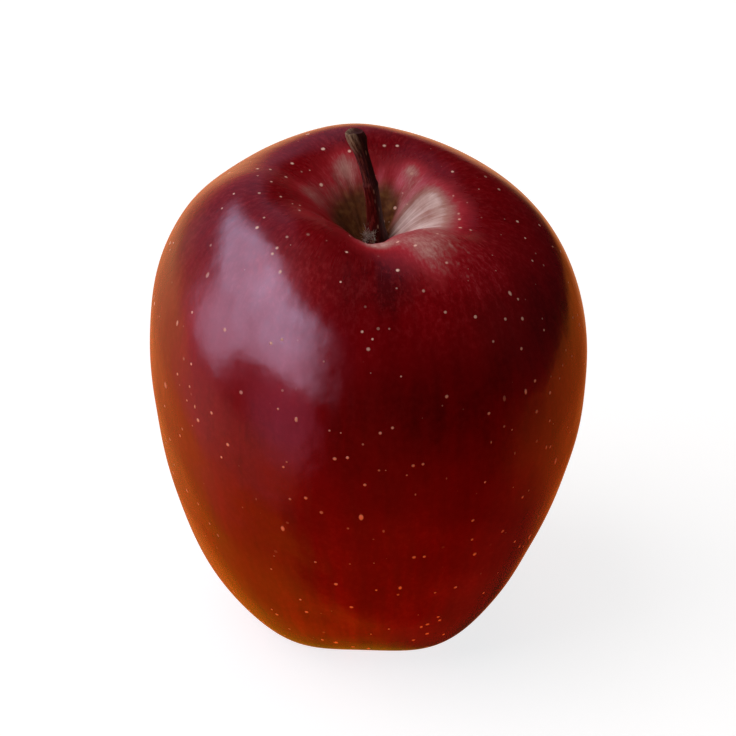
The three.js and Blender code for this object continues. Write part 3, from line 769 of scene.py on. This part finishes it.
# The studio, in metres. Angles are in degrees, azimuth from +X and elevation above the horizon, and
# glow is radiance. A turn is counted from the back left and grows towards the left. A pair of edges
# is where something starts and where it is full.
studio = {
    "cameraPlace": (0, -0.5936, 0.4129), "cameraAim": (-0.00013, 0, 0.0472), "cameraLens": 195.85,
    "sensorWidth": 36, "clipStart": 0.01,
    "floorSize": 12, "floorColour": "#b4b2b0", "floorTint": (0.96, 0.99, 1.0, 1), "floorGlow": 0.8,
    "backdrop": (0.95, 0.95, 0.95), "turnFrom": 120,
    "windowGlow": (5.6, 5.6, 8.4), "lowWindowGlow": (1.3, 0.0, 0.0), "lowWindowHeight": (35, -5),
    "windowRight": (133.5, 117.5), "windowLeft": (37, 59), "windowTop": (71, 55), "windowSill": (-2, 2),
    "rightLean": 2.0, "rightLeanHeight": (30, 50),
    "leftLeans": ((16, 46, 0, 48), (-90, 0, -54, 0)),       # heights, and how far it leans at each
    "arches": ((44, -180, 0, 134.4), (91, 180, 0, 53.4)),   # turns, and how much lower the top is
    "windowFoot": (-9.5, -12.5, -1.5), "leftFootTurn": (56, 100), "rightFootTurn": (110, 132),
    "notchHeight": 13.8, "notchLeft": (70, 88), "notchRight": (134, 104),
    "glowByHeight": ((-15, 55), 0.48, 1.06), "glowByTurn": ((30, 120), 0.75, 1.15),
    "outsideScale": 7, "outsideRoughness": 0.68, "outsideTwist": 0.6, "glowOutside": ((0.3, 0.7), 0.66, 1.34),
    "frontEdge": (26, 50), "frontEnd": (126, 116), "frontEndSlant": ((-30, -52, 0, 22),),
    "sideEdge": (-56, -42), "farRight": (-150, -116),
    "sideShift": -14.0, "lowShiftHeight": (-28, -45), "highShiftHeight": (2, 14),
    "leftGlow": (                 # elevation and radiance, left and in front, under the window
        (-90, (0.3, 0.1, 0.001)), (-64, (0.62, 0.21, 0.005)), (-50, (0.78, 0.13, 0.01)),
        (-42, (1.12, 0.19, 0.1)), (-32, (1.6, 0.34, 0.3)), (-18, (1.5, 0.34, 0.42)),
        (-6, (1.2, 0.32, 0.46)), (5, (1.0, 0.3, 0.42)), (20, (0.4, 0.2, 0.3)), (90, (0.12, 0.08, 0.14))),
    "backGlow": (                 # behind, at the left and at the middle
        (-90, (0.22, 0.05, 0.001)), (-56, (0.45, 0.23, 0.01)), (-45, (0.66, 0.2, 0.01)),
        (-33, (0.95, 0.27, 0.06)), (-20, (1.15, 0.44, 0.18)), (-11, (1.35, 0.6, 0.28)),
        (-4, (1.1, 0.44, 0.22)), (3, (0.85, 0.28, 0.2)),
        (11, (0.4, 0.15, 0.22)), (35, (0.3, 0.25, 0.4)), (60, (0.2, 0.2, 0.34)),
        (90, (0.12, 0.12, 0.2))),
    "rightGlow": (                # at the right: the lit table, under a dark wall
        (-90, (0.2, 0.03, 0.001)), (-60, (0.12, 0.02, 0.001)), (-47, (0.06, 0.015, 0.001)),
        (-43, (0.2, 0.035, 0.001)), (-38, (0.5, 0.08, 0.001)), (-25, (0.62, 0.1, 0.003)),
        (-12, (0.7, 0.16, 0.01)), (90, (0.7, 0.16, 0.01))),
    "tableTurn": (-66, -112), "tableHeights": (-13, -23), "tableEdge": (3, -3),
    "wallGlow": (0.008, 0.006, 0.01),
    "shadePlace": (85, -15), "shadeReach": (11, 15), "shadeDepth": 0.75,
    "hazeLobe": (-126, -20, 22), "hazeGlow": (0.3, 0.12, 0.45),
    "veilLobe": (142, 7, 60), "veilGlow": (0.12, 0.18, 0.24),
    "ambientLobes": (             # azimuth, elevation, sharpness and radiance
        (-110, -84, 8, (6.2, 0.55, 0.04)), (-197, -42, 8, (2.75, 0.92, 0.15)),
        (-90, -20, 8, (0.65, 0.2, 0.06)), (90, 0, 8, (1.6, 0.75, 0.4)), (0, 20, 8, (0.4, 0.25, 0.22))),
    "lamps": (                    # name, azimuth, elevation, distance, size, watts, colour
        ("keySoftbox", -172, 56, 1.1, 1.1, 7.8, (1.0, 0.95, 0.94)),
        ("topSoftbox", 60, 84, 1.2, 0.9, 2.0, (1.0, 0.95, 0.94)),
    ),
}


def directionTo(azimuth, elevation):
    turn, rise = np.radians(azimuth), np.radians(elevation)
    return Vector((np.cos(turn) * np.cos(rise), np.sin(turn) * np.cos(rise), np.sin(rise)))


# The light round the apple. What the gloss shows is a dark room with a tall arched window at the
# left, a warm table top below the horizon that is bright at the left and behind, and a pale ceiling.
# Diffuse light and the camera get plainer skies of their own.
def studioWorld():
    world = bpy.data.worlds.new("studioRoom")
    bpy.context.scene.world = world
    world.cycles.sampling_method = "NONE"     # each kind of ray then sees its own sky
    world.use_nodes = True
    tree = world.node_tree
    tree.nodes.clear()
    direction = addNode(tree, "TexCoord").outputs["Generated"]

    # Where every value is past its edges: a step of 3t^2 - 2t^3 for each, multiplied together.
    def where(*edges):
        share = 1.0
        for value, (start, end) in edges:
            step = addNode(tree, "MapRange", {"interpolation_type": "SMOOTHSTEP", "From Min": start,
                                              "From Max": end, "Value": value})
            share = product(tree, share, step)
        return share

    # From a first amount to a last, between a value's edges.
    def fromTo(value, edges, first, last):
        return weighted(tree, first, [(where((value, edges)), last - first)])

    # A value with straight rises added, each from one amount to another over a stretch of another.
    def risen(start, value, rises):
        for low, high, first, last in rises:
            rise = addNode(tree, "MapRange", {"From Min": low, "From Max": high, "To Min": first,
                                              "To Max": last, "Value": value})
            start = weighted(tree, start, [(rise, 1.0)])
        return start

    # A soft spot of light: the cosine of the angle from its middle, raised to its sharpness.
    def lobe(azimuth, elevation, sharpness):
        cosine = addNode(tree, "VectorMath", {"operation": "DOT_PRODUCT", 0: direction,
                                              1: directionTo(azimuth, elevation)}).outputs["Value"]
        facing = addNode(tree, "Math", {"operation": "MAXIMUM", 0: cosine, 1: 0.0})
        return addNode(tree, "Math", {"operation": "POWER", 0: facing, 1: sharpness})

    # Every colour times its share, added up.
    def total(lights):
        glow = (0.0, 0.0, 0.0)
        for colour, share in lights:
            light = addNode(tree, "VectorMath", {"operation": "SCALE", 0: colour, "Scale": share})
            glow = addNode(tree, "VectorMath", {"operation": "ADD", 0: glow, 1: light})
        return glow

    upright = addNode(tree, "SeparateXYZ", {"Vector": direction}).outputs["Z"]
    height = product(tree, addNode(tree, "Math", {"operation": "ARCSINE", 0: upright}), np.degrees(1.0))
    sideways, ahead = (addNode(tree, "VectorMath", {"operation": "DOT_PRODUCT", 0: direction,
                                                    1: directionTo(studio["turnFrom"] + quarter, 0)})
                       for quarter in (90, 0))
    turn = addNode(tree, "Math", {"operation": "ARCTAN2", 0: sideways.outputs["Value"],
                                  1: ahead.outputs["Value"]})
    turn = product(tree, turn, np.degrees(1.0))
    # The window: upright at its right, leaning out at its left, with a notch in its foot.
    leaning = risen(turn, height, studio["leftLeans"])
    rightEdge = weighted(tree, turn, [(where((height, studio["rightLeanHeight"])), -studio["rightLean"])])
    arch = risen(height, turn, studio["arches"])
    leftFoot, midFoot, rightFoot = studio["windowFoot"]
    notch = where((turn, studio["notchLeft"]), (turn, studio["notchRight"]))
    foot = weighted(tree, leftFoot, [(where((turn, studio["leftFootTurn"])), midFoot - leftFoot),
                                     (where((turn, studio["rightFootTurn"])), rightFoot - midFoot),
                                     (notch, studio["notchHeight"])])
    aboveFoot = weighted(tree, height, [(foot, -1.0)])
    window = where((rightEdge, studio["windowRight"]), (leaning, studio["windowLeft"]),
                   (aboveFoot, studio["windowSill"]), (arch, studio["windowTop"]))
    window = product(tree, window, fromTo(height, *studio["glowByHeight"]),
                     fromTo(turn, *studio["glowByTurn"]))
    lowWindow = product(tree, window, where((height, studio["lowWindowHeight"])))
    # What is seen through it is a little uneven.
    outside = addNode(tree, "TexNoise", {
        "Scale": studio["outsideScale"], "Detail": 6, "Roughness": studio["outsideRoughness"],
        "Distortion": studio["outsideTwist"], "Vector": direction})
    window = product(tree, window, fromTo(outside, *studio["glowOutside"]))
    # The table in front, at the left. Something dark stands on it under the window.
    atFront = where((turn, studio["frontEdge"]))
    frontEnd = risen(turn, height, studio["frontEndSlant"])
    away = 0.0
    for value, place, reach in zip((turn, height), studio["shadePlace"], studio["shadeReach"]):
        off = weighted(tree, -place / reach, [(value, 1 / reach)])
        away = weighted(tree, away, [(product(tree, off, off), -1.0)])
    shade = addNode(tree, "Math", {"operation": "EXPONENT", 0: away})
    inFront = product(tree, atFront, where((frontEnd, studio["frontEnd"])),
                      weighted(tree, 1.0, [(shade, -studio["shadeDepth"])]))
    # The table and the room behind and at the right.
    sideTurn = weighted(tree, turn, [(where((height, studio["lowShiftHeight"])), studio["sideShift"]),
                                     (where((height, studio["highShiftHeight"])), studio["sideShift"])])
    atBack = product(tree, where((sideTurn, studio["sideEdge"])), weighted(tree, 1.0, [(atFront, -1.0)]))
    atRight = where((sideTurn, studio["sideEdge"][::-1]), (turn, studio["farRight"]))
    tableTop = fromTo(turn, studio["tableTurn"], *studio["tableHeights"])
    aboveTable = weighted(tree, height, [(tableTop, -1.0)])
    onTable = product(tree, atRight, where((aboveTable, studio["tableEdge"])))
    lights = [(studio["windowGlow"], window), (studio["lowWindowGlow"], lowWindow),
              (studio["wallGlow"], atRight), (studio["veilGlow"], lobe(*studio["veilLobe"])),
              (studio["hazeGlow"], product(tree, lobe(*studio["hazeLobe"]), inFront))]
    level = addNode(tree, "MapRange", {"From Min": -90, "From Max": 90, "Value": height})
    for name, share in (("leftGlow", inFront), ("backGlow", atBack), ("rightGlow", onTable)):
        stops = [((place + 90) / 180, (*colour, 1)) for place, colour in studio[name]]
        lights.append((addNode(tree, "ValToRGB", {"stops": stops, "Fac": level}), share))
    # What lights the apple and the floor, and what the camera sees round them.
    ambient = total([(colour, lobe(*place)) for *place, colour in studio["ambientLobes"]])
    ray = addNode(tree, "LightPath")
    seen = overlaid(tree, total(lights), [(ray.outputs["Is Diffuse Ray"], ambient),
                                          (ray.outputs["Is Camera Ray"], (*studio["backdrop"], 1))])
    background = addNode(tree, "Background", {"Strength": 1, "Color": seen})
    addNode(tree, "OutputWorld", {"Surface": background})


# Matte studio paper: an uncoated pale sheet, quite dull. It gives off light of its own, so that it
# stays pale where no lamp reaches and shows the apple's shadow faintly.
def studioFloor():
    half = studio["floorSize"] / 2
    material = newMaterial("matteStudioPaper", {
        "Roughness": 0.9, "IOR": 1.3, "Base Color": linear(studio["floorColour"]),
        "Emission Color": studio["floorTint"], "Emission Strength": studio["floorGlow"]})[0]
    mesh = bpy.data.meshes.new("studio_floor")
    corners = [(-half, -half, 0), (half, -half, 0), (half, half, 0), (-half, half, 0)]
    mesh.from_pydata(corners, [], [(0, 1, 2, 3)])
    mesh.materials.append(material)
    floor = bpy.data.objects.new("studio_floor", mesh)
    bpy.context.scene.collection.objects.link(floor)
    floor.visible_glossy = False      # the gloss and the warm light come from the table of the world
    floor.visible_diffuse = False


def studioLamps():
    for name, azimuth, elevation, distance, size, watts, colour in studio["lamps"]:
        light = bpy.data.lights.new(name, "AREA")
        light.shape = "SQUARE"
        light.size = size
        light.energy = watts
        light.color = colour
        lamp = bpy.data.objects.new(name, light)
        bpy.context.scene.collection.objects.link(lamp)
        away = directionTo(azimuth, elevation)
        lamp.location = away * distance
        lamp.rotation_euler = away.to_track_quat("Z", "Y").to_euler()
        lamp.visible_glossy = False


def studioCamera():
    lens = bpy.data.cameras.new("productCamera")
    lens.lens = studio["cameraLens"]
    lens.sensor_width = studio["sensorWidth"]
    lens.clip_start = studio["clipStart"]
    camera = bpy.data.objects.new("productCamera", lens)
    bpy.context.scene.collection.objects.link(camera)
    camera.location = studio["cameraPlace"]
    sight = Vector(studio["cameraAim"]) - Vector(studio["cameraPlace"])
    camera.rotation_euler = sight.to_track_quat("-Z", "Y").to_euler()
    bpy.context.scene.camera = camera


studioWorld()
studioFloor()
studioLamps()
studioCamera()
bpy.context.scene.view_settings.view_transform = "Standard"
print("studio made")
